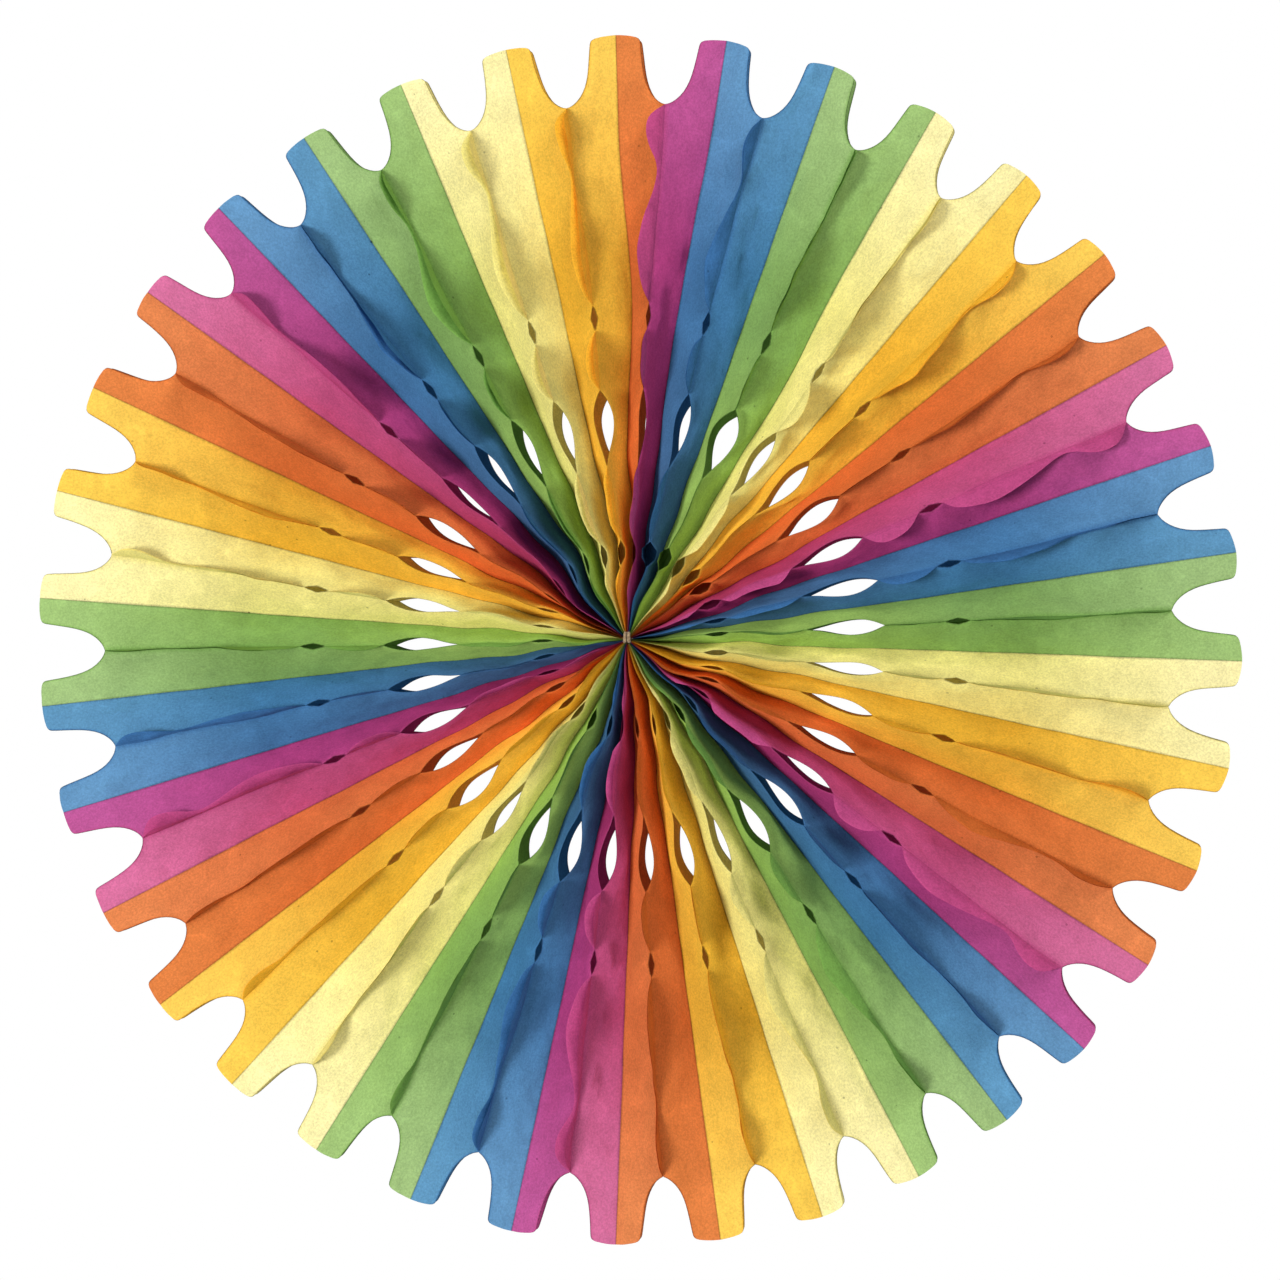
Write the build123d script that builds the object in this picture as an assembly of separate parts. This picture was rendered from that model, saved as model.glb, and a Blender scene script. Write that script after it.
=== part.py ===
from build123d import *
from math import asin, cos, pi, radians, sin, sqrt
import os

# Paper fan rosette: die-cut tissue sheets that stand round a hub. Each is glued along its middle line
# to a sheet of another colour, and along its front and back edges to one of its own colour.
# Millimetres. The face looks to -Y, +Z is up and the hub lies on the Y axis.
# Angles are clockwise from the top, as the face is seen.

DIAMETER = 635.0
TEETH = 35
COLOURS = ["magenta", "blue", "green", "pale_yellow", "amber", "orange"]
PAPER = 0.2  # thickness, more than the real tissue's so that the solids hold
NOTCH_DEPTH = 37.1
RIM_DEPTH = 19.6  # from the front glued edges to the back ones, where the notches end
TURN = 2.97  # the seam stands this far from the top
SAG = 1.73  # the paper's weight draws its lines this far toward SAG_TO
SAG_TO = 65.0
SWING = 3.6  # the lowest lines hang this far to the right
SWING_FROM = 30.0  # from the hub to where they do so in full

RADIUS = DIAMETER / 2
SHEETS = 2 * TEETH
PITCH = 2 * pi / SHEETS
TIP = RADIUS - NOTCH_DEPTH  # where the notches end
PANEL = sqrt((2 * TIP * sin(PITCH / 2)) ** 2 + (RIM_DEPTH / 2) ** 2)  # from a sheet's middle to its edge
HUB = 1.07 * PAPER / PITCH  # where the sheets' inner ends stand side by side

# The wavy flap past the glued front edge, in runs of (radius as a share of TIP, reach).
FRONT_RUNS = [
    [(HUB / TIP, 0.0), (0.068, 4.6), (0.139, 0.0)],
    [(0.186, 0.0), (0.232, 6.5), (0.289, 5.9), (0.325, 0.0)],
    [(0.468, 0.0), (0.504, 8.6), (0.549, 7.0), (0.578, 0.0)],
    [
        (0.627, 0.0),
        (0.668, 8.6),
        (0.719, 11.3),
        (0.786, 8.2),
        (0.866, 3.2),
        (0.936, 9.2),
        (0.974, 8.1),
        (1.0, 0.0),
    ],
]
# The slots between the runs: (radius as a share of TIP, depth cut in, opening as a share of the pleat).
FRONT_SLOTS = [
    [(0.162, 5.1, 0.35)],
    [(0.36, 7.6, 0.28), (0.399, 9.7, 0.36), (0.437, 5.9, 0.22)],
    [(0.6025, 3.0, 0.12)],
]
# The back edge is a guess: the same die's waves, and only its large slot.
BACK_RUNS = [
    [(HUB / TIP, 0.0), (0.068, 4.0), (0.162, 1.3), (0.255, 7.0), (0.325, 0.0)],
    [
        (0.468, 0.0),
        (0.524, 8.1),
        (0.6025, 2.7),
        (0.713, 10.8),
        (0.855, 3.5),
        (0.951, 9.2),
        (1.0, 0.0),
    ],
]
BACK_SLOTS = [[(0.396, 9.7, 0.36)]]
# Stations on the tooth line as shares of TIP, behind the middle of each run and each slot.
TOOTH_LINE = [HUB / TIP, 0.07, 0.162, 0.26, 0.396, 0.524, 0.815, 1.0, RADIUS / TIP]
# The notch and the tooth's top: (share of NOTCH_DEPTH, distance from the tooth line as a share of PANEL).
NOTCH = [(0.05, 0.88), (0.145, 0.74), (0.36, 0.6), (0.87, 0.535), (0.975, 0.49), (1.0, 0.42)]
# How far the front flaps lean clockwise from straight out: those of the three inner runs and that of
# the outer run, from the first notch after the seam to the seam.
LEANS = [
    (-20, -40), (0, 2), (50, 7), (5, 33), (0, 20), (80, 80), (36, 22), (5, 10), (5, 9),
    (10, -8), (15, 30), (78, 70), (10, 2), (31, 40), (45, 35), (3, 3), (12, 8), (62, 66),
    (42, 40), (3, 15), (23, -6), (15, 20), (8, 6), (29, 55), (5, 27), (-18, -6), (12, 9),
    (3, -13), (8, -19), (12, 32), (-8, -22), (-23, -50), (-53, -49), (-46, -35), (-20, -65),
]
BACK_LEAN = 25.0  # the back flaps lean this far, left and right in turn
# How wide each pair's slots stand open, against the openings above, in the same order.
GAPES = [
    0.8, 1.5, 1.1, 1.1, 1.3, 1.1, 1.0, 0.95, 0.8, 0.85, 0.85, 0.8,
    1.05, 1.2, 0.85, 1.2, 1.0, 1.15, 1.2, 1.35, 0.95, 1.2, 0.95, 1.05,
    0.9, 0.8, 0.85, 0.8, 0.9, 0.55, 0.8, 0.9, 1.0, 1.2, 0.5,
]

TIE_WIDTH = 3.7
TIE_HEIGHT = 7.5
TIE_RISE = 1.3  # the tie's middle stands above the hub's axis
TIE_GAP = 0.05  # between the string and the sheets' inner ends

FRONT = Vector(0, -1, 0)
BACK = Vector(0, 1, 0)


def line_angle(line):
    """The angle of a line of folds: even lines are the flaps', odd ones the teeth's."""
    even = line * PITCH + radians(TURN)
    return even + radians(SAG) * cos(line * PITCH - radians(SAG_TO))


def out(line):
    return Vector(sin(line_angle(line)), 0, cos(line_angle(line)))


def across(line):
    """Clockwise, square to the line."""
    return Vector(cos(line_angle(line)), 0, -sin(line_angle(line)))


def place(line, radius):
    """A point in the middle plane, on a line of folds."""
    swing = SWING * max(0.0, -cos(line_angle(line))) ** 2 * min(1.0, (radius - HUB) / SWING_FROM)
    return out(line) * radius - across(line) * swing


def pleat(radius):
    """How deep the glued edges lie off the tooth lines, and how far apart the two are seen from the front."""
    apart = 2 * min(radius, TIP) * sin(PITCH / 2)
    return sqrt(PANEL**2 - apart**2), apart


def mitre(first, second):
    """From a fold to the point that lies PAPER off both sheets, given their normals."""
    return (first + second) * (PAPER / (1 + first.dot(second)))


def triangles(points):
    """Fills a chain of points around its first one."""
    return [[points[0], points[i], points[i + 1]] for i in range(1, len(points) - 1)]


def strip(first, second):
    """Triangles between two chains with the same number of points."""
    loops = []
    for i in range(len(first) - 1):
        loops += triangles([first[i], first[i + 1], second[i + 1], second[i]])
    return loops


def points(chain):
    return [point for _, point in chain]


def laced(first, second):
    """Triangles between two chains of (radius, point), led by whichever has the nearer next radius."""
    i, j, loops = 0, 0, []
    while i < len(first) - 1 or j < len(second) - 1:
        done = j == len(second) - 1
        if done or i < len(first) - 1 and first[i + 1][0] < second[j + 1][0]:
            loops.append([first[i][1], first[i + 1][1], second[j][1]])
            i += 1
        else:
            loops.append([first[i][1], second[j + 1][1], second[j][1]])
            j += 1
    return loops


class Edge:
    """A glued edge of two sheets, at the front or the back: its folds, and the flap past them."""

    def __init__(self, line, facing, runs, slots, leans, gape):
        self.line = line
        self.facing = facing
        self.runs = runs
        self.slots = slots
        self.gape = gape
        self.folds = []
        self.waves = []
        self.normals = []
        for run, lean in zip(runs, leans):
            # near the hub the flaps stand too close together to lean far
            room = min((0.8 * pleat(share * TIP)[1] - PAPER) / reach for share, reach in run[1:-1])
            room = min(room, 1.0)
            turned = asin(max(-room, min(room, sin(radians(lean)))))
            along = across(line) * sin(turned) + facing * cos(turned)
            start, end = [self.fold(share * TIP) for share in (run[0][0], run[-1][0])]
            wave = []
            for share, reach in run[1:-1]:
                way = (share - run[0][0]) / (run[-1][0] - run[0][0])
                wave.append(start + (end - start) * way + along * reach)
            self.folds.append((start, end))
            self.waves.append(wave)
            self.normals.append(across(line) * cos(turned) - facing * sin(turned))

    def fold(self, radius):
        return place(self.line, radius) + self.facing * pleat(radius)[0]

    def outer(self, run, side):
        """The chain of the flap's surface on one side: fold, free edge, fold."""
        shift = self.normals[run] * side
        ends = []
        for point, share in zip(self.folds[run], (self.runs[run][0][0], self.runs[run][-1][0])):
            deep, apart = pleat(share * TIP)
            panel = (across(self.line) * (deep * side) + self.facing * apart) / PANEL
            ends.append(point + mitre(panel, shift))
        return [ends[0]] + [p + shift * PAPER for p in self.waves[run]] + [ends[1]]

    def middle(self, run):
        return [self.folds[run][0]] + self.waves[run] + [self.folds[run][1]]


def half_sheet(edge, side, outside, inside):
    """The loops of a sheet from a glued edge to its middle line, where the two chains lie.

    side is 1 for the sheet clockwise of the edge and -1 for the one before it.
    """
    tooth_line = edge.line + side
    inward = across(tooth_line) * -side
    outer, inner, loops = [], [], []
    for run, slot in enumerate(edge.slots + [[]]):
        chain = edge.outer(run, side)
        loops.append(chain)
        for end in (0, -1):
            share = edge.runs[run][end][0]
            outer.append((share, chain[end]))
            inner.append((share, edge.folds[run][end]))
            if run and end == 0:
                rim = slice(-len(edge.slots[run - 1]) - 2, None)
                loops += strip(points(outer[rim]), points(inner[rim]))
        for share, cut, opening in slot:
            deep, apart = pleat(share * TIP)
            left = (1 - opening * edge.gape) * apart
            rise = sqrt((PANEL - cut) ** 2 - left**2)
            lip = place(tooth_line, share * TIP) + edge.facing * rise + inward * left
            off = (edge.facing * left - inward * rise).normalized() * (PAPER / 2)
            outer.append((share, lip + off))
            inner.append((share, lip - off))

    loops += laced(outer, outside[:-1]) + laced(inner, inside[:-1])
    loops += triangles([outside[0][1], outer[0][1], inner[0][1], inside[0][1]])

    # this half of the tooth, which thins to its cut edge
    start, end, corner = [
        (a + b) * 0.5
        for a, b in (
            (outside[-2][1], inside[-2][1]),
            (outside[-1][1], inside[-1][1]),
            (outer[-1][1], inner[-1][1]),
        )
    ]
    curve = []
    for way, width in NOTCH:
        curve.append(start + (end - start) * way + (corner - start) * width)
    for foot, top, fold in (
        (outside[-2][1], outside[-1][1], outer[-1][1]),
        (inside[-2][1], inside[-1][1], inner[-1][1]),
    ):
        loops += triangles([foot, fold] + curve + [top])
    loops.append([outer[-1][1], inner[-1][1], curve[0]])
    loops.append([outside[-1][1], inside[-1][1], curve[-1]])
    return loops


def sheet(edges, side):
    """The loops of one sheet's surface, but for the faces it is glued by at its two edges."""
    tooth_line = edges[0].line + side
    inward = across(tooth_line) * -side
    outside, inside = [], []
    for share in TOOTH_LINE:
        deep, apart = pleat(share * TIP)
        point = place(tooth_line, share * TIP)
        normals = [(inward * deep - facing * apart) / PANEL for facing in (FRONT, BACK)]
        outside.append((share, point))
        inside.append((share, point + mitre(*normals)))
    return half_sheet(edges[0], side, outside, inside) + half_sheet(edges[1], side, outside, inside)


def solid(loops, name, colour):
    made = Solid(Shell([Face(Wire.make_polygon(loop)) for loop in loops]))
    made.label = name
    made.color = colour
    return made


def edges_at(notch):
    """The front and back glued edges of the two sheets that meet at a notch."""
    line = 2 * notch
    (inner, outer), gape = [values[(notch - 1) % len(values)] for values in (LEANS, GAPES)]
    front_leans = [inner] * (len(FRONT_RUNS) - 1) + [outer]
    back_leans = [BACK_LEAN * (-1) ** notch] * len(BACK_RUNS)
    front = Edge(line, FRONT, FRONT_RUNS, FRONT_SLOTS, front_leans, gape)
    return [front, Edge(line, BACK, BACK_RUNS, BACK_SLOTS, back_leans, gape)]


def glued_pair(edges):
    """Two sheets of one colour, glued along their front and back edges and through the flaps."""
    loops = sheet(edges, 1) + sheet(edges, -1)
    for edge in edges:
        for run in range(len(edge.runs)):
            later, before = edge.outer(run, 1), edge.outer(run, -1)
            loops += strip(later, before)
            for end in (0, -1):
                loops.append([edge.folds[run][end], later[end], before[end]])
    return loops


def end_sheet(edges, side):
    """One of the two sheets that meet at the seam."""
    loops = sheet(edges, side)
    for edge in edges:
        for run in range(len(edge.runs)):
            loops += strip(edge.outer(run, side), edge.middle(run))
            loops.append(edge.middle(run))
    return loops


def tie():
    """String drawn through the hub, with a loop laid on the face and a knot behind."""
    strand = TIE_WIDTH / 2
    core_radius = HUB - TIE_GAP
    end = PANEL + strand * 0.6  # clear of the flaps' inner ends
    core = extrude(Plane.XZ.offset(-end) * RegularPolygon(core_radius, 12), 2 * end)
    loop = Plane.XZ.offset(end) * Pos(0, TIE_RISE) * Rectangle(TIE_WIDTH, TIE_HEIGHT)
    loop = extrude(loop, strand)
    loop = chamfer(loop.edges(), strand * 0.35)
    knot = extrude(Plane.XZ.offset(-end) * RegularPolygon(2 * core_radius, 8), -strand)
    knot = chamfer(knot.edges(), strand * 0.25)
    return core + loop + knot


SHADES = {
    "magenta": Color(0.80, 0.27, 0.52),
    "blue": Color(0.29, 0.55, 0.77),
    "green": Color(0.53, 0.74, 0.38),
    "pale_yellow": Color(0.97, 0.93, 0.62),
    "amber": Color(0.98, 0.77, 0.25),
    "orange": Color(0.89, 0.43, 0.19),
}

pieces = []
for notch in range(1, TEETH):
    colour = COLOURS[notch % len(COLOURS)]
    loops = glued_pair(edges_at(notch))
    pieces.append(solid(loops, f"{colour}_pair_{notch:02d}", SHADES[colour]))
seam = edges_at(TEETH)
first, last = COLOURS[0], COLOURS[TEETH % len(COLOURS)]
pieces.append(solid(end_sheet(seam, -1), f"last_{last}_sheet", SHADES[last]))
pieces.append(solid(end_sheet(seam, 1), f"first_{first}_sheet", SHADES[first]))
string = tie()
string.label = "hub_tie"
string.color = Color(0.80, 0.69, 0.52)
pieces.append(string)

os.makedirs("parts", exist_ok=True)
for piece in pieces:
    export_step(piece, f"parts/{piece.label}.step")
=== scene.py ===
from math import cos, exp, pi, radians, sin, sqrt

import bpy
import numpy as np
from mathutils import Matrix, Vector


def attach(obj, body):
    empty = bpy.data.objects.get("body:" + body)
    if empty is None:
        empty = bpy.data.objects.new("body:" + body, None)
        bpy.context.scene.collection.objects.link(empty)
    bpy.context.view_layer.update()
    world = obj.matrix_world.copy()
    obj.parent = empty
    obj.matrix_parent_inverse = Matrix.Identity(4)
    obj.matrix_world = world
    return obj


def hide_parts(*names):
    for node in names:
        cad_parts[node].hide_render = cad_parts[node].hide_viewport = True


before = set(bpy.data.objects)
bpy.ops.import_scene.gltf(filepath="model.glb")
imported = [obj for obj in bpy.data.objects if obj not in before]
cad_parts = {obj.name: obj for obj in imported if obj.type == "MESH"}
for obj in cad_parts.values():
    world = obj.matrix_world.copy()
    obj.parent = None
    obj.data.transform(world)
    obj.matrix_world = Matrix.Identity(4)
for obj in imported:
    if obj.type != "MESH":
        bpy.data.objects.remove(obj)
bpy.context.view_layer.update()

# Paper fan rosette: 70 sheets of tissue that stand round a hub, tied with string. Each sheet is glued along
# its middle line to one of another colour, and along its front and back edges to one of its own.
# Sizes in millimetres and angles clockwise from the top, as in the part's source. Even lines of folds run
# along the glued edges to the notches, and odd ones along the sheets' middles to the teeth.

RADIUS = 317.5
TEETH = 35
COLOURS = ["magenta", "blue", "green", "pale_yellow", "amber", "orange"]
PAPER = 0.2
NOTCH_DEPTH = 37.1
RIM_RISE = 9.8  # from the middle plane to the glued edges, where the notches end
TURN = 2.97  # the seam stands this far from the top
SAG = 1.73  # the paper's weight draws its lines this far toward SAG_TO
SAG_TO = 65.0
SWING = 3.6  # the lowest lines hang this far to the right
SWING_FROM = 30.0  # from the hub to where they do so in full
# Between hub and rim the sheets sit this much further out toward SLIDE_TO, and further in on the other side.
SLIDE = 2.6
SLIDE_TO = 97.0

PITCH = pi / TEETH
TIP = RADIUS - NOTCH_DEPTH  # where the notches end
PANEL = sqrt((2 * TIP * sin(PITCH / 2)) ** 2 + RIM_RISE**2)  # from a sheet's middle to its edge
HUB = 1.07 * PAPER / PITCH  # where the sheets' inner ends stand side by side

# The die's outline along a glued edge: (radius as a share of TIP, reach), where a cut-out is negative.
FRONT_WAVE = [
    (HUB / TIP, 0.0), (0.03, 3.2), (0.068, 5.2), (0.105, 3.6), (0.139, 0.0),
    (0.162, -5.1), (0.186, 0.0),
    (0.204, 4.4), (0.232, 7.4), (0.262, 6.2), (0.296, 6.2), (0.325, 0.0),
    (0.36, -7.6), (0.399, -9.7), (0.437, -5.9), (0.468, 0.0),
    (0.484, 6.0), (0.508, 9.6), (0.552, 7.4), (0.578, 0.0),
    (0.6025, -3.0), (0.627, 0.0),
    (0.644, 5.6), (0.676, 9.6), (0.719, 12.6), (0.762, 10.6), (0.806, 7.0), (0.843, 3.6), (0.868, 2.3),
    (0.89, 3.4), (0.916, 8.0), (0.945, 10.6), (0.976, 9.6), (1.0, 0.0),
]
BACK_WAVE = [
    (HUB / TIP, 0.0), (0.068, 4.0), (0.162, 1.3), (0.255, 7.0), (0.325, 0.0),
    (0.36, -7.6), (0.399, -9.7), (0.437, -5.9), (0.468, 0.0),
    (0.524, 8.6), (0.6025, 2.7), (0.713, 11.4), (0.855, 3.2), (0.951, 9.8), (1.0, 0.0),
]
# How far a cut-out's two edges stand open, as a share of the pleat there.
HUB_OPENING = [(0.139, 0.0), (0.155, 0.9), (0.171, 0.9), (0.186, 0.0)]
LEAF_OPENING = [(0.325, 0.0), (0.348, 0.12), (0.378, 0.33), (0.413, 0.42), (0.442, 0.29), (0.468, 0.0)]
SLIT_OPENING = [(0.578, 0.0), (0.6025, 0.10), (0.627, 0.0)]
# The leaf-shaped cut-outs' widths at their middle, from the first notch to the seam, the width that
# LEAF_OPENING makes, and the cut-outs by the hub against HUB_OPENING.
LEAF_WIDTHS = [
    5.5, 10.3, 7.2, 7.4, 8.5, 7.3, 6.7, 6.3, 5.4, 5.7, 5.7, 5.4,
    7.1, 8.1, 5.7, 8.0, 6.7, 7.6, 8.2, 9.0, 6.4, 8.0, 6.5, 7.0,
    5.9, 5.4, 5.6, 5.2, 6.1, 3.8, 5.3, 6.0, 6.7, 8.0, 3.4,
]
LEAF_WIDTH = 6.7
HUB_GAPS = [
    0.95, 0.9, 0.5, 0.6, 0.6, 0.4, 0.3, 0.25, 0.3, 0.25, 0.25, 0.2,
    0.3, 0.3, 0.3, 0.2, 0.2, 0.2, 0.25, 0.3, 0.35, 0.3, 0.25, 0.2,
    0.2, 0.2, 0.15, 0.15, 0.15, 0.15, 0.15, 0.2, 0.3, 0.55, 0.3,
]
# The tooth's side: (share of the way from TIP to RADIUS, distance from the tooth line as a share of PANEL).
TOOTH = [
    (0.0, 1.0), (0.012, 0.965), (0.05, 0.87), (0.145, 0.745), (0.28, 0.645), (0.45, 0.585), (0.65, 0.555),
    (0.87, 0.535), (0.95, 0.525), (0.98, 0.505), (0.995, 0.47), (1.0, 0.42),
]
DOME = 2.0  # the tooth's top falls this far toward its corners

# How far the front flaps lean clockwise from straight out, at three radii, from the first notch to the seam.
LEANS_AT = [147.0, 200.0, 267.0]
LEANS = [
    (-20, -48, -28), (0, 0, 5), (50, 8, 5), (5, 35, 30), (0, 15, 25), (80, 82, 80), (36, 32, 5),
    (5, 12, 8), (5, 12, 5), (10, -3, -17), (15, 42, 10), (78, 62, 80), (10, 3, 0), (31, 58, 10),
    (45, 45, 20), (3, 3, 3), (12, 10, 5), (62, 70, 60), (42, 45, 30), (3, 10, 22), (23, 3, -17),
    (15, 10, 33), (8, 5, 8), (29, 44, 72), (5, 22, 33), (-18, -8, -3), (12, -3, 27), (3, -17, -6),
    (8, -17, -22), (12, 24, 43), (-8, -33, 0), (-23, -65, -25), (-53, -53, -55), (-46, -40, -55),
    (-20, -57, -80),
]
# Notches where the left flap leans left by itself, and the right one leans with it by this share only.
STANDING = {18, 19, 24, 31, 32, 33, 34}
STANDING_SHARE = 0.25
DRIFT = 6.0  # the flaps' lean wanders by this much on the way
BACK_LEAN = 25.0  # the back flaps lean this far, left and right in turn
# A flap leans by this share of its lean at its foot, and by so much more at its free edge.
CURL = 0.45
CURL_MORE = 0.75
CURL_STEPS = 24

# How crumpled the sheets at a notch are: those by the seam have been handled most.
CRUMPLED = {
    1: 2.0, 2: 1.9, 3: 2.1, 4: 1.9, 5: 1.4, 14: 1.4, 15: 1.7, 16: 1.5, 17: 1.4, 18: 1.6, 19: 1.5,
    34: 1.3, 35: 1.6,
}
BUCKLE_ROOM = 22.0  # pleats at least this far apart buckle in full
# Where the pleats crowd aside: (angle, spread of angles, radius, spread of radii, shift clockwise).
CROWDED = [
    (316.0, 17.0, 30.0, 15.0, -5.0), (112.0, 17.0, 27.0, 14.0, 3.5), (345.0, 14.0, 60.0, 25.0, 2.5),
    (357.0, 5.5, 180.0, 50.0, 5.0), (9.0, 5.0, 160.0, 80.0, -3.3), (30.0, 6.0, 150.0, 45.0, 3.0),
]

# The grids: rows about this far apart, then rows on the tooth as shares of the way from TIP to RADIUS,
# and columns as shares of the way from the tooth line to the glued edge, or from there to the free edge.
ROW_STEP = 2.0
TOOTH_ROWS = [
    0, 0.012, 0.03, 0.05, 0.09, 0.145, 0.21, 0.28, 0.36, 0.45, 0.55, 0.65, 0.75, 0.83, 0.88,
    0.92, 0.95, 0.975, 0.992, 1.0,
]
FRONT_COLUMNS = np.concatenate((np.linspace(0, 0.91, 15), [0.955, 1.0]))
BACK_COLUMNS = np.concatenate((np.linspace(0, 0.9, 8), [0.955, 1.0]))
FLAP_COLUMNS = np.array([0, 0.2, 0.4, 0.6, 0.78, 0.9, 1.0])

# How strongly the shading of panels and flaps leans to the front or the back, whichever they are on.
SCATTER = 1.2
FLAP_SCATTER = 0.3
STEEP = 6.0  # it leans less where less than one part in this of a normal points that way
UV_UNIT = 100.0  # the flat sheet is laid out in units of this length

FRONT = np.array((0.0, -1.0, 0.0))
BACK = -FRONT


def add_camera():
    """Level, a little to the right of the hub's axis."""
    data = bpy.data.cameras.new("camera")
    camera = bpy.data.objects.new("camera", data)
    bpy.context.collection.objects.link(camera)
    turned, away = radians(5.93), 2.4
    camera.location = (away * sin(turned), -away * cos(turned), 0.0)
    aim = Vector((0.00398, 0.0, -0.0001))
    camera.rotation_euler = (aim - camera.location).to_track_quat("-Z", "Y").to_euler()
    data.sensor_width = 36.0
    data.lens = 128.66
    bpy.context.scene.camera = camera


# smooth curves and noise

def smooth(stations, scale):
    """A table of (place, value), with its corners rounded but its zeros kept."""
    pieces, run = [], []
    for at, value in stations:
        run.append((at * scale, value))
        if value == 0.0 and len(run) > 1:
            pieces.append(run)
            run = [run[-1]]
    if len(run) > 1:
        pieces.append(run)
    table = []
    for run in pieces:
        points = np.array(run)
        for _ in range(3):
            cut = np.empty((2 * len(points), 2))
            cut[0], cut[-1] = points[0], points[-1]
            cut[1:-1:2] = points[:-1] * 0.75 + points[1:] * 0.25
            cut[2:-1:2] = points[:-1] * 0.25 + points[1:] * 0.75
            points = cut
        table.append(points)
    return np.concatenate(table)


def ease(t):
    return t * t * t * (t * (t * 6 - 15) + 10)


def noise(seed, u, v):
    """Smooth noise from -1 to 1 with one lump per unit of u and v."""
    wide, high = 97, 89
    grid = np.random.default_rng(seed).uniform(-1, 1, (wide, high))
    u, v = np.broadcast_arrays(np.asarray(u, float), np.asarray(v, float))
    i, j = np.floor(u).astype(int), np.floor(v).astype(int)
    a, b = ease(u - i), ease(v - j)

    def at(di, dj):
        return grid[(i + di) % wide, (j + dj) % high]

    near = at(0, 0) * (1 - a) + at(1, 0) * a
    far = at(0, 1) * (1 - a) + at(1, 1) * a
    return near * (1 - b) + far * b


# lines of folds

def line_angle(line):
    even = line * PITCH + radians(TURN)
    return even + radians(SAG) * cos(line * PITCH - radians(SAG_TO))


def out(line):
    return np.array((sin(line_angle(line)), 0.0, cos(line_angle(line))))


def across(line):
    """Clockwise, square to the line."""
    return np.array((cos(line_angle(line)), 0.0, -sin(line_angle(line))))


def place(line, radius):
    """Points in the middle plane, on a line of folds."""
    angle = line_angle(line)
    aside = 0.0
    for at, spread, away, length, most in CROWDED:
        turned = (angle * 180 / pi - at + 180) % 360 - 180
        aside = aside + most * exp(-((turned / spread) ** 2)) * np.exp(-(((radius - away) / length) ** 2))
    # the folds also wander, mostly near the hub
    wander = np.sin(7 * angle + radius / 9.0) * np.cos(3 * angle - radius / 14.0)
    wander = wander + 0.6 * np.sin(13 * angle + 1.3 - radius / 12.5)
    aside = aside + wander * np.clip((radius - HUB) / 18.0, 0, 1) * np.clip((130.0 - radius) / 60.0, 0.12, 1)
    # but not where the notches end
    aside = aside * np.clip((TIP - radius) / 40.0, 0, 1)
    swing = SWING * max(0.0, -cos(angle)) ** 2 * np.clip((radius - HUB) / SWING_FROM, 0, 1)
    slid = SLIDE * cos(angle - radians(SLIDE_TO)) * np.sin(pi * radius / RADIUS)
    return out(line) * (radius + slid)[:, None] + across(line) * (aside - swing)[:, None]


# what all sheets share, row by row

def row_radii():
    """Every end of a run or a cut-out has its row."""
    ends = {share for share, reach in FRONT_WAVE + BACK_WAVE if reach == 0.0}
    ends |= {share for share, opening in HUB_OPENING + SLIT_OPENING}
    ends = sorted(share * TIP for share in ends)
    steps = []
    for start, end in zip(ends, ends[1:]):
        count = max(2, int(round((end - start) / ROW_STEP)) + 1)
        steps.append(np.linspace(start, end, count)[:-1])
    return np.concatenate(steps + [TIP + (RADIUS - TIP) * np.array(TOOTH_ROWS)])


ROWS = row_radii()
ON_TOOTH = ROWS > TIP
WAY = (ROWS - TIP) / (RADIUS - TIP)
WIDTH = np.where(ON_TOOTH, np.interp(WAY, *smooth(TOOTH, 1.0).T), 1.0)  # of the panel, as a share of PANEL
APART = 2 * np.minimum(ROWS, TIP) * sin(PITCH / 2)  # from tooth line to glued edge, seen from the front
HUB_OPEN = np.interp(ROWS, *(np.array(HUB_OPENING) * (TIP, 1)).T)
LEAF_OPEN = np.interp(ROWS, *smooth(LEAF_OPENING, TIP).T)
SLIT_OPEN = np.interp(ROWS, *(np.array(SLIT_OPENING) * (TIP, 1)).T)


class Half:
    """The front or the back half of every sheet."""

    def __init__(self, number, facing, wave, columns):
        self.number = number
        self.facing = facing
        self.columns = columns
        curve = smooth(wave, TIP)
        self.reach = np.where(ON_TOOTH, 0.0, np.interp(ROWS, *curve.T))
        ends = sorted({share * TIP for share, reach in wave if reach == 0.0})
        self.runs = [(a, b) for a, b in zip(ends, ends[1:]) if np.interp((a + b) / 2, *curve.T) >= 0]


HALVES = [Half(1, FRONT, FRONT_WAVE, FRONT_COLUMNS), Half(-1, BACK, BACK_WAVE, BACK_COLUMNS)]


# the sheets

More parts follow.
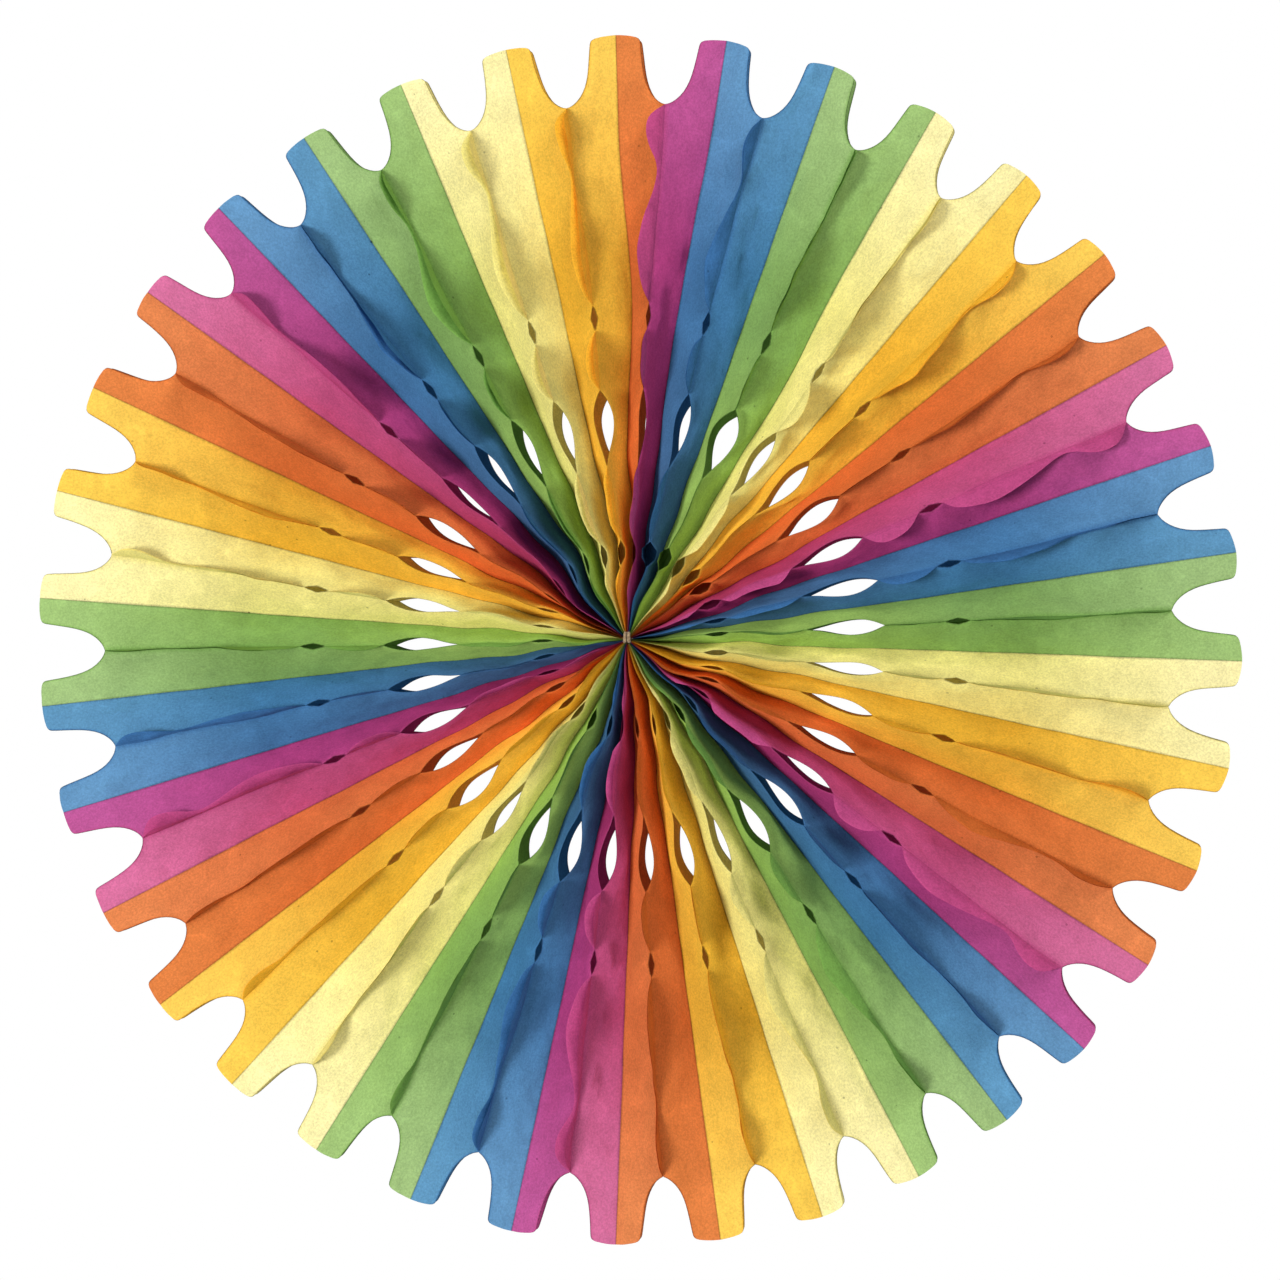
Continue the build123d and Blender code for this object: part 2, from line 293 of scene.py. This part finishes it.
class Paper:
    """Gathers the grids of one sheet."""

    def __init__(self):
        self.points, self.faces, self.marks, self.flat, self.fronts = [], [], [], [], []
        self.count = 0  # points so far

    def grid(self, points, rim, flat, front):
        """Adds a grid of rows x columns x 3 points.

        rim tells the cut edges, and flat is where a point lies on the flat sheet. front is where the shading
        leans: tissue scatters the light, so its slopes show less than a solid's.
        """
        rows, columns = points.shape[:2]
        index = self.count + np.arange(rows * columns).reshape(rows, columns)
        quads = np.stack((index[:-1, :-1], index[1:, :-1], index[1:, 1:], index[:-1, 1:]), -1).reshape(-1, 4)
        self.points.append(points.reshape(-1, 3))
        self.faces.append(quads)
        self.marks.append(np.broadcast_to(rim, (rows, columns)).reshape(-1))
        self.flat.append(flat.reshape(-1, 2))
        self.fronts.append(np.broadcast_to(front, (rows * columns, 3)))
        self.count += rows * columns

    def piece(self, name, material, side):
        points = np.concatenate(self.points) * 0.001
        faces = np.concatenate(self.faces)
        mesh = bpy.data.meshes.new(name)
        mesh.vertices.add(len(points))
        mesh.vertices.foreach_set("co", points.ravel())
        mesh.loops.add(faces.size)
        mesh.loops.foreach_set("vertex_index", faces.ravel())
        mesh.polygons.add(len(faces))
        mesh.polygons.foreach_set("loop_start", np.arange(len(faces)) * 4)
        mesh.polygons.foreach_set("loop_total", np.full(len(faces), 4))
        mesh.update(calc_edges=True)
        mesh.polygons.foreach_set("use_smooth", np.ones(len(faces), bool))
        self.lean_shading(mesh)
        rim = mesh.attributes.new("rim", "FLOAT", "POINT")
        rim.data.foreach_set("value", np.concatenate(self.marks).astype(np.float32))
        clockwise = mesh.attributes.new("clockwise", "FLOAT", "POINT")
        clockwise.data.foreach_set("value", np.full(len(points), float(side > 0), np.float32))
        uv = mesh.uv_layers.new(name="flat")
        corners = np.concatenate(self.flat)[faces.ravel()] / UV_UNIT
        uv.data.foreach_set("uv", corners.astype(np.float32).ravel())
        mesh.materials.append(material)
        made = bpy.data.objects.new(name, mesh)
        bpy.context.collection.objects.link(made)
        return made

    def lean_shading(self, mesh):
        """Turns the mesh's shading normals toward the fronts that its grids name."""
        normals = np.empty(len(mesh.vertices) * 3)
        mesh.vertices.foreach_get("normal", normals)
        normals = normals.reshape(-1, 3)
        fronts = np.concatenate(self.fronts)
        # a normal that looks away leans away
        towards = np.clip(np.sum(normals * fronts, 1, keepdims=True) * STEEP, -1, 1)
        normals = normals + towards * fronts
        normals /= np.linalg.norm(normals, axis=1, keepdims=True)
        mesh.normals_split_custom_set_from_vertices(normals)


def buckles(seed, columns):
    """How far a panel's points stand off it, in a grid of all rows and these columns."""
    r, v = ROWS[:, None], columns[None, :]
    soft = noise(seed, r / 42.0, v * 1.3 + 0.4) * 1.35
    soft = soft + noise(seed + 1, r / 17.0 + v * 0.8, v * 2.6) * 0.8
    fine = noise(seed + 2, r / 7.0 + v * 1.1, v * 5.0 - r / 60.0)
    held = np.sin(pi * v) ** 0.75  # at the tooth line and the glued edge
    loose = (ON_TOOTH * np.minimum(1, WAY * 1.4))[:, None] * v**2
    return (soft * 1.2 + (1 - np.abs(fine) * 2) * 0.2) * held + loose * noise(seed, r / 30.0, 7.3) * 2.2


def add_panel(paper, half, line, side, seed, room):
    """Half a sheet, from the tooth line to the glued edge. Returns that edge's points."""
    tooth = line + side
    notch = (line // 2 - 1) % TEETH
    opening = LEAF_OPEN * LEAF_WIDTHS[notch] / LEAF_WIDTH
    if half.number == 1:
        opening = opening + HUB_OPEN * HUB_GAPS[notch] + SLIT_OPEN
    opening = np.where(ON_TOOTH, 0.0, opening)
    long = PANEL - np.maximum(0, -half.reach)
    rise = np.sqrt(long**2 - ((1 - opening) * APART) ** 2) * WIDTH

    base = place(tooth, ROWS)
    inward = place(line, ROWS) - base
    seen = np.linalg.norm(inward, axis=1)
    inward /= seen[:, None]
    left = (1 - opening) * np.where(ON_TOOTH, APART, seen) * WIDTH

    # the glued edge strays a little to either side, less near the hub and the notch
    stray = noise(5 + line, ROWS / 34.0, 0.3) * 0.05 * APART
    stray *= np.minimum(1, (TIP - np.minimum(ROWS, TIP)) / 20.0)
    edge = inward * left[:, None] + half.facing * rise[:, None] + across(line) * stray[:, None]
    normal = inward * (rise / long)[:, None] - half.facing * (left / long)[:, None]

    v = half.columns[None, :]
    lift = room * buckles(seed, half.columns)
    points = base[:, None] + edge[:, None] * v[..., None] + normal[:, None] * lift[..., None]
    domed = DOME * (v * WIDTH[:, None] / 0.5) ** 2 * np.clip((WAY[:, None] - 0.6) / 0.4, 0, 1)
    points = points - out(tooth) * domed[..., None]

    cut = (ON_TOOTH | (half.reach < -0.05))[:, None]
    rim = -1.0 * (cut & (v == 1.0))
    flat = np.stack(np.broadcast_arrays(ROWS[:, None], (v - 1) * PANEL), -1)
    paper.grid(points, rim, flat, half.facing * SCATTER)
    return points[:, -1]


def leans_of(half, line, side, leans):
    """How far this side's flaps lean clockwise, in degrees, at LEANS_AT."""
    if half.number == -1:
        return np.full(len(LEANS_AT), BACK_LEAN * (-1) ** (line // 2))
    leans = np.array(leans, float)
    to_right = cos(line_angle(line))
    if side * to_right > 0 and line // 2 in STANDING:
        leans = np.where(leans * to_right < 0, leans * STANDING_SHARE, leans)
    return leans


def curl(turned):
    """How far sideways and outward a flap's columns lie, as shares of its reach, row by row."""
    way = np.linspace(0, 1, CURL_STEPS + 1)
    angle = turned[:, None] * (CURL + CURL_MORE * way)
    angle = (angle[:, 1:] + angle[:, :-1]) / 2
    pick = (FLAP_COLUMNS * CURL_STEPS).round().astype(int)
    return [
        np.pad(np.cumsum(step * np.diff(way), 1), ((0, 0), (1, 0)))[:, pick]
        for step in (np.sin(angle), np.cos(angle))
    ]


def add_flap(paper, half, line, side, seed, leans, run, edge, room):
    """The flap past the glued edge along one run."""
    start, end = run
    inside = (ROWS >= start - 0.001) & (ROWS <= end + 0.001)
    radius, room, w = ROWS[inside], room[inside], FLAP_COLUMNS[None, :]
    reach = np.maximum(half.reach[inside], 0.0)

    # near the hub the flaps stand too close together to lean far
    limit = (0.8 * APART[inside] - PAPER) / np.maximum(reach, 0.3)
    limit = np.arcsin(np.clip(limit, 0.02, 1.0))
    drift = noise(7 * line + half.number, radius / 38.0, 0.7) * DRIFT
    turned = np.clip(np.radians(np.interp(radius, LEANS_AT, leans) + drift), -limit, limit)
    sideways, outward = [way * reach[:, None] for way in curl(turned)]

    # the two flaps of a pair ripple together and gape a little at their free edges
    ripple = noise(11 * line + half.number, radius[:, None] / 11.0, w * 1.2)
    ripple = ripple * 0.35 * w * np.minimum(1, reach / 4.0)[:, None] * room
    gap = 0.05 + 0.16 * w**2 * (1 + noise(seed, radius[:, None] / 9.0, 0.2)) * room
    off = (side * gap + ripple) * (w > 0)
    normal = across(line) * np.cos(turned)[:, None] - half.facing * np.sin(turned)[:, None]
    points = edge[inside][:, None] + across(line) * sideways[..., None]
    points = points + half.facing * outward[..., None] + normal[:, None] * off[..., None]

    rim = 1.0 * (w == 1.0)
    flat = np.stack(np.broadcast_arrays(radius[:, None], w * reach[:, None]), -1)
    paper.grid(points, rim, flat, half.facing * FLAP_SCATTER)


def sheet(name, line, side, leans, colour, node):
    """One sheet: its front and back halves, from the tooth line to the glued edges, and its flaps."""
    seed = 1000 + 20 * (line % (2 * TEETH)) + 5 * side
    room = np.minimum(1.0, APART / BUCKLE_ROOM)[:, None] * CRUMPLED.get(line // 2, 1.0)
    paper = Paper()
    for half in HALVES:
        edge = add_panel(paper, half, line, side, seed if half.number == 1 else seed + 3, room)
        turned = leans_of(half, line, side, leans)
        for run in half.runs:
            add_flap(paper, half, line, side, seed + 9, turned, run, edge, room)

    made = paper.piece(name, papers[colour], side)
    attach(made, "root")
    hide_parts(node)
    return made


# materials

class Nodes:
    """Shorthand for building a node tree."""

    def __init__(self, tree):
        self.tree = tree
        tree.nodes.clear()

    def add(self, kind, inputs=None, **settings):
        node = self.tree.nodes.new(kind)
        for key, value in settings.items():
            setattr(node, key, value)
        for key, value in (inputs or {}).items():
            if isinstance(value, bpy.types.NodeSocket):
                self.tree.links.new(value, node.inputs[key])
            else:
                node.inputs[key].default_value = value
        return node

    def maths(self, operation, a, b=0.0, c=0.0):
        return self.add("ShaderNodeMath", {0: a, 1: b, 2: c}, operation=operation).outputs[0]

    def blend(self, mode, factor, a, b):
        inputs = {0: factor, 6: a, 7: b}
        return self.add("ShaderNodeMix", inputs, data_type="RGBA", blend_type=mode).outputs[2]

    def spread(self, value, low, high, to_low=0.0, to_high=1.0):
        inputs = {0: value, 1: low, 2: high, 3: to_low, 4: to_high}
        return self.add("ShaderNodeMapRange", inputs).outputs[0]

    def noise(self, vector, scale, detail, roughness=0.5, distortion=0.0):
        """The outputs of a noise texture: its value and its colour."""
        return self.add("ShaderNodeTexNoise", {
            "Vector": vector, "Scale": scale, "Detail": detail, "Roughness": roughness,
            "Distortion": distortion,
        }).outputs

    def scaled(self, vector, by):
        return self.add("ShaderNodeVectorMath", {0: vector, "Scale": by}, operation="SCALE").outputs[0]

    def attribute(self, name):
        return self.add("ShaderNodeAttribute", attribute_name=name).outputs["Fac"]


def linear(colour):
    return tuple(((c + 0.055) / 1.055) ** 2.4 if c > 0.04045 else c / 12.92 for c in colour) + (1.0,)


def paper_tone(n, position, flat, edge):
    """What the paper's colour is multiplied by, from point to point.

    edge is how far past the glued edge a point lies on the flat sheet.
    """
    def dark_line(middle, width, strength):
        """Along the glued edge, with its middle this far past it."""
        distance = n.maths("ABSOLUTE", n.maths("SUBTRACT", edge, middle))
        return n.spread(distance, 0.0, width, -strength, 0.0)

    grain = n.noise(position, 900.0, 2.0, 0.7)[0]
    cloud, cloud_colour = list(n.noise(position, 60.0, 2.0))[:2]
    stretched = n.add("ShaderNodeMapping", {"Vector": flat, "Scale": (30.0, 260.0, 1.0)}).outputs[0]
    fibre = n.noise(stretched, 1.0, 1.0, distortion=0.6)[0]

    # painted highlights along the sharp creases of handling, which come and go
    bend = n.scaled(cloud_colour, 0.02)
    bent = n.add("ShaderNodeVectorMath", {0: position, 1: bend}, operation="ADD").outputs[0]
    facets = n.add("ShaderNodeTexVoronoi", {"Vector": bent, "Scale": 26.0}, feature="DISTANCE_TO_EDGE")
    crease_highlights = n.spread(facets.outputs[0], 0.0, 0.035, 0.09, 0.0)
    crease_highlights = n.maths("MULTIPLY", crease_highlights, n.spread(cloud, 0.45, 0.60))

    # a dark speck in a few of the cells
    cells = n.add("ShaderNodeTexVoronoi", {"Vector": position, "Scale": 260.0, "Randomness": 1.0})
    chance = n.add("ShaderNodeSeparateColor", {0: cells.outputs["Color"]}).outputs[0]
    speck = n.maths("LESS_THAN", cells.outputs[0], 0.17)
    speck = n.maths("MULTIPLY", n.maths("GREATER_THAN", chance, 0.986), speck)

    rim = n.attribute("rim")
    tone = n.spread(grain, 0.34, 0.66, -0.13, 0.13)
    for part in (
        n.spread(cloud, 0.34, 0.66, -0.055, 0.055),
        n.spread(fibre, 0.34, 0.66, -0.05, 0.05),
        dark_line(0.002, 0.0055, 0.10),  # the glue along the glued edge, in two lines
        dark_line(0.028, 0.0055, 0.07),
        dark_line(-PANEL / UV_UNIT, 0.012, 0.46),  # the glue along the middle line, darkened further as painted shade of the valley there
        crease_highlights,
        n.spread(rim, -1.0, 0.0, -0.75, 0.0),  # painted shade darkens the cut edges of panels
        n.spread(rim, 0.0, 1.0, 0.0, 0.14),  # and a painted highlight lightens those of flaps
        n.maths("MULTIPLY", speck, -0.4),
        1.0,
    ):
        tone = n.maths("ADD", tone, part)
    return tone


def tissue(name, before, after, doubled_and_shaded, through, inner_shade, hub_light_and_shade):
    """Crinkled tissue paper, in its colour before and after a notch, which differ by painted light and
    shade, doubled in a flap, where it is partly darker from the doubling and partly from painted shade, and
    by light let through. What it is multiplied by inside the rim is painted shade, and near the hub painted
    light and shade.
    """
    material = bpy.data.materials.new(name)
    material.use_nodes = True
    n = Nodes(material.node_tree)
    position = n.add("ShaderNodeTexCoord").outputs["Object"]
    flat = n.add("ShaderNodeTexCoord").outputs["UV"]
    radius, edge = list(n.add("ShaderNodeSeparateXYZ", {0: flat}).outputs)[:2]
    tone = paper_tone(n, position, flat, edge)

    # the colours before and after a notch differ by painted light and shade
    paper = n.blend("MIX", n.attribute("clockwise"), linear(before), linear(after))
    # painted shade: inside the rim, where the sheets stand closer, the colour is deepened
    paper = n.blend("MULTIPLY", n.spread(radius, 3.0, 2.0), paper, inner_shade + (1.0,))
    # and painted light and shade near the hub, lighter for some colours and darker for others
    paper = n.blend("MULTIPLY", n.spread(radius, 1.70, 0.8), paper, hub_light_and_shade + (1.0,))
    # from a little short of the glued edge into the flap the paper is darker, partly from the doubling and
    # partly from painted shade
    paper = n.blend("MIX", n.spread(edge, -0.03, 0.015), paper, linear(doubled_and_shaded))

    wrinkles = n.noise(position, 55.0, 2.0, 0.4)[0]
    bump = n.add("ShaderNodeBump", {"Height": wrinkles, "Strength": 0.7, "Distance": 0.006}).outputs[0]
    skin = n.add("ShaderNodeBsdfPrincipled", {
        "Base Color": n.scaled(paper, tone), "Roughness": 0.85, "Normal": bump, "Specular IOR Level": 0.08,
    })
    glow = n.add("ShaderNodeBsdfTranslucent", {
        "Color": n.scaled(linear(through)[:3], tone), "Normal": bump,
    })
    both = n.add("ShaderNodeMixShader", {0: 0.16, 1: skin.outputs[0], 2: glow.outputs[0]})
    n.add("ShaderNodeOutputMaterial", {"Surface": both.outputs[0]})
    return material


def string_material():
    material = bpy.data.materials.new("cotton_string")
    material.use_nodes = True
    n = Nodes(material.node_tree)
    position = n.add("ShaderNodeTexCoord").outputs["Object"]
    fuzz = n.noise(position, 2600.0, 4.0)[0]
    tint = n.spread(n.noise(position, 500.0, 2.0)[0], 0.35, 0.65)
    colour = n.blend("MIX", tint, linear((0.66, 0.56, 0.42)), linear((0.46, 0.37, 0.26)))
    bump = n.add("ShaderNodeBump", {"Height": fuzz, "Strength": 0.6, "Distance": 0.0003}).outputs[0]
    skin = n.add("ShaderNodeBsdfPrincipled", {
        "Base Color": colour, "Roughness": 0.85, "Normal": bump, "Sheen Weight": 0.3,
    })
    n.add("ShaderNodeOutputMaterial", {"Surface": skin.outputs[0]})
    return material


# Each colour before and after a notch, which differ by painted light and shade; doubled in a flap, darker
# from the doubling and from painted shade; let through; then the painted shade it is multiplied by inside
# the rim, and the painted light and shade it is multiplied by again near the hub.
TISSUE = {
    "magenta": (
        (0.81, 0.43, 0.60), (0.73, 0.34, 0.58), (0.73, 0.29, 0.50), (0.60, 0.18, 0.38),
        (0.81, 0.50, 0.64), (0.80, 0.54, 0.57),
    ),
    "blue": (
        (0.39, 0.58, 0.74), (0.37, 0.58, 0.73), (0.24, 0.44, 0.65), (0.18, 0.37, 0.54),
        (0.47, 0.62, 0.74), (0.90, 0.69, 0.68),
    ),
    "green": (
        (0.63, 0.75, 0.49), (0.62, 0.75, 0.46), (0.48, 0.66, 0.31), (0.36, 0.50, 0.24),
        (0.63, 0.73, 0.51), (1.42, 1.27, 1.00),
    ),
    "pale_yellow": (
        (0.97, 0.93, 0.68), (0.97, 0.93, 0.67), (0.93, 0.88, 0.53), (0.76, 0.71, 0.44),
        (0.92, 0.90, 0.60), (0.94, 0.95, 0.84),
    ),
    "amber": (
        (0.96, 0.79, 0.32), (0.96, 0.79, 0.34), (0.95, 0.71, 0.20), (0.76, 0.58, 0.26),
        (0.83, 0.71, 0.43), (1.20, 1.14, 1.30),
    ),
    "orange": (
        (0.86, 0.50, 0.26), (0.86, 0.51, 0.30), (0.81, 0.42, 0.19), (0.68, 0.35, 0.18),
        (0.90, 0.70, 0.63), (1.15, 0.97, 0.85),
    ),
}


# the string tie

STRAND = 0.85  # radius
PLIES = 3
FACE = PANEL + 2.1  # from the middle plane to the loop's foot


def rope(path, radius, twist, closed=False):
    """Points and faces of a laid string along a path: its section has a lobe for each ply and turns."""
    count, around = len(path), 8 * PLIES
    if closed:
        along = np.roll(path, -1, 0) - np.roll(path, 1, 0)
    else:
        along = np.gradient(path, axis=0)
    along /= np.linalg.norm(along, axis=1, keepdims=True)
    up = np.array((0.0, 1.0, 0.0)) if abs(along[0][1]) < 0.9 else np.array((0.0, 0.0, 1.0))
    first = np.cross(along, up)
    first /= np.linalg.norm(first, axis=1, keepdims=True)
    second = np.cross(along, first)
    far = np.concatenate(([0], np.cumsum(np.linalg.norm(np.diff(path, axis=0), axis=1))))
    angle = np.linspace(0, 2 * pi, around, endpoint=False)
    rate = round(far[-1] / twist) * 2 * pi / far[-1]
    spin = angle[None, :] + far[:, None] * rate
    lobes = radius * (0.86 + 0.2 * np.abs(np.cos(angle * PLIES / 2)))[None, :]
    points = path[:, None] + lobes[..., None] * (
        first[:, None] * np.cos(spin)[..., None] + second[:, None] * np.sin(spin)[..., None]
    )
    index = np.arange(count * around).reshape(count, around)
    if closed:
        index = np.concatenate((index, index[:1]))
    nxt = np.roll(index, -1, 1)
    faces = np.stack((index[:-1], nxt[:-1], nxt[1:], index[1:]), -1).reshape(-1, 4)
    return points.reshape(-1, 3), faces


def tie_strands():
    """The loop's two strands on the face, the two that run through the hub, and the knot behind."""
    t = np.linspace(0, pi, 50)
    for shift, slant in ((-0.95, 0.10), (1.0, -0.04)):
        z = 2.2 * np.cos(t)
        over = np.stack((shift + slant * z, -FACE + 3.0 - 3.0 * np.sin(t) ** 0.5, 1.3 + z), -1)
        yield rope(over, STRAND, 3.2)
    for shift in (-0.9, 0.9):
        y = np.linspace(-FACE + 0.4, PANEL + 1.0, 90)
        wind = y / 9.0
        yield rope(np.stack((shift * np.cos(wind), y, shift * np.sin(wind)), -1), STRAND, 4.0)
    t = np.linspace(0, 2 * pi, 160, endpoint=False)
    knot = np.stack((
        1.9 * np.sin(t) + 0.9 * np.sin(2 * t),
        PANEL + 1.7 + 0.7 * np.sin(3 * t),
        1.9 * np.cos(t) - 0.9 * np.cos(2 * t),
    ), -1)
    yield rope(knot, 0.8, 3.2, closed=True)


def add_tie(material):
    points, faces, count = [], [], 0
    for strand_points, strand_faces in tie_strands():
        points.append(strand_points)
        faces.append(strand_faces + count)
        count += len(strand_points)
    mesh = bpy.data.meshes.new("string_tie")
    mesh.from_pydata((np.concatenate(points) * 0.001).tolist(), [], np.concatenate(faces).tolist())
    mesh.polygons.foreach_set("use_smooth", np.ones(len(mesh.polygons), bool))
    mesh.materials.append(material)
    made = bpy.data.objects.new("string_tie", mesh)
    bpy.context.collection.objects.link(made)
    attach(made, "root")
    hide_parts("hub_tie")


# floor and light

def add_floor():
    bpy.ops.mesh.primitive_circle_add(vertices=96, radius=1.5, fill_type="NGON", location=(0, 0, -0.62))
    floor = bpy.context.object
    floor.name = "floor"
    material = bpy.data.materials.new("floor")
    material.use_nodes = True
    shader = material.node_tree.nodes["Principled BSDF"]
    shader.inputs["Base Color"].default_value = (0.86, 0.86, 0.86, 1)
    shader.inputs["Roughness"].default_value = 0.9
    floor.data.materials.append(material)


def add_light(name, place, size, power):
    data = bpy.data.lights.new(name, "AREA")
    data.shape = "DISK"
    data.size = size
    data.energy = power
    light = bpy.data.objects.new(name, data)
    light.location = place
    light.rotation_euler = (-Vector(place)).to_track_quat("-Z", "Y").to_euler()
    bpy.context.collection.objects.link(light)


def add_world():
    """A soft light from all around, which the camera sees as white."""
    world = bpy.data.worlds.new("studio")
    bpy.context.scene.world = world
    world.use_nodes = True
    n = Nodes(world.node_tree)
    path = n.add("ShaderNodeLightPath")
    seen = n.maths("MAXIMUM", path.outputs["Is Camera Ray"], path.outputs["Is Glossy Ray"])
    seen = n.maths("MAXIMUM", seen, path.outputs["Is Transmission Ray"])
    around = n.add("ShaderNodeBackground", {"Color": (1, 1, 1, 1), "Strength": 0.26})
    behind = n.add("ShaderNodeBackground", {"Color": (1, 1, 1, 1), "Strength": 1.0})
    mix = n.add("ShaderNodeMixShader", {0: seen, 1: around.outputs[0], 2: behind.outputs[0]})
    n.add("ShaderNodeOutputWorld", {"Surface": mix.outputs[0]})


add_camera()
papers = {colour: tissue(f"{colour}_paper", *TISSUE[colour]) for colour in COLOURS}
for notch in range(1, TEETH):
    colour = COLOURS[notch % len(COLOURS)]
    node = f"{colour}_pair_{notch:02d}"
    for side, word in ((-1, "before"), (1, "after")):
        sheet(f"sheet_{notch:02d}_{word}", 2 * notch, side, LEANS[notch - 1], colour, node)
sheet("sheet_last", 2 * TEETH, -1, LEANS[-1], "orange", "last_orange_sheet")
sheet("sheet_first", 2 * TEETH, 1, LEANS[-1], "magenta", "first_magenta_sheet")
add_tie(string_material())
add_floor()
add_light("key", (-1.55, -2.86, -0.30), 0.80, 80.0)
add_light("fill", (1.3, -2.2, 1.7), 1.6, 36.0)
add_light("behind", (-1.4, 2.8, 1.0), 1.6, 34.0)
add_world()
bpy.context.scene.view_settings.view_transform = "Standard"
